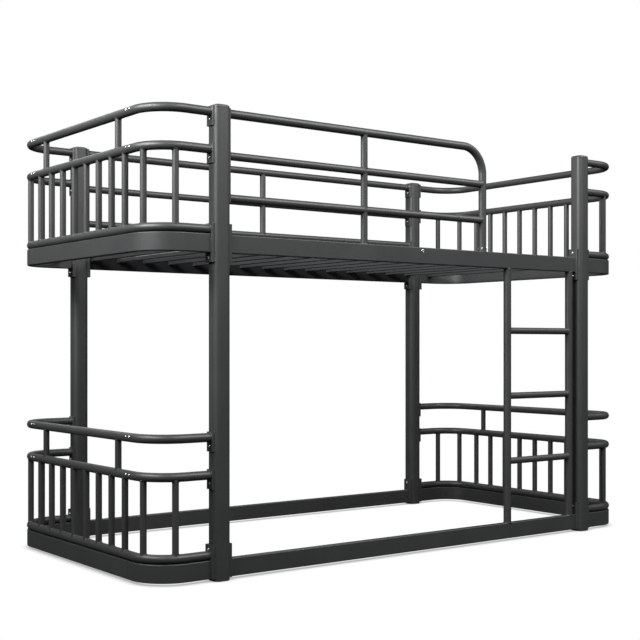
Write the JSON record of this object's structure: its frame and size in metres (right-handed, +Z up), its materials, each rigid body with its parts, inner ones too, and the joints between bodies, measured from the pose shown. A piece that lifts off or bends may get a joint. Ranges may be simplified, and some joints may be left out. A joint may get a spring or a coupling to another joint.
{
  "type": "bunk bed",
  "caption": "Low metal bunk bed with railed bow ends, an upright ladder, a short front guard with a rounded end, and an open lower frame on the floor.",
  "frame": {"origin": "on the floor, below the middle of the bed", "axes": "+X along the bed towards the ladder end, +Y from the ladder side to the rear, +Z up"},
  "size_m": [2.2596, 1.0986, 1.54],
  "materials": {
    "frame": "satin powder coat",
    "slats": "satin powder coat",
    "plastic": "matte",
    "screws": "satin zinc"
  },
  "bodies": {
    "root": {"front_left_post": "frame", "front_right_post": "frame", "rear_left_post": "frame", "rear_right_post": "frame", "upper_front_rail": "frame", "upper_rear_rail": "frame", "lower_front_rail": "frame", "lower_rear_rail": "frame", "upper_left_top_tube": "frame", "upper_left_middle_tube": "frame", "upper_left_bottom_tube": "frame", "upper_left_band": "frame", "upper_left_balusters": "frame", "upper_left_brackets": "frame", "upper_right_top_tube": "frame", "upper_right_middle_tube": "frame", "upper_right_bottom_tube": "frame", "upper_right_band": "frame", "upper_right_balusters": "frame", "upper_right_brackets": "frame", "lower_left_top_tube": "frame", "lower_left_middle_tube": "frame", "lower_left_bottom_tube": "frame", "lower_left_band": "frame", "lower_left_balusters": "frame", "lower_left_brackets": "frame", "lower_right_top_tube": "frame", "lower_right_middle_tube": "frame", "lower_right_bottom_tube": "frame", "lower_right_band": "frame", "lower_right_balusters": "frame", "lower_right_brackets": "frame", "upper_rail_brackets": "frame", "lower_rail_brackets": "frame", "front_guard_top_tube": "frame", "front_guard_middle_tube": "frame", "front_guard_lower_tube": "frame", "front_guard_strut": "frame", "front_guard_end_bar": "frame", "rear_guard_top_tube": "frame", "rear_guard_middle_tube": "frame", "rear_guard_lower_tube": "frame", "rear_guard_strut": "frame", "rear_guard_brackets": "frame", "ladder_left_stile": "frame", "ladder_right_stile": "frame", "ladder_rungs": "frame", "joint_sleeves": "frame", "post_caps": "plastic", "foot_plugs": "plastic", "slats": "slats", "slat_holders": "slats", "bracket_screws": "screws", "threaded_inserts": "screws", "joint_screws": "screws", "rail_bolts": "screws"}
  },
  "joints": []
}
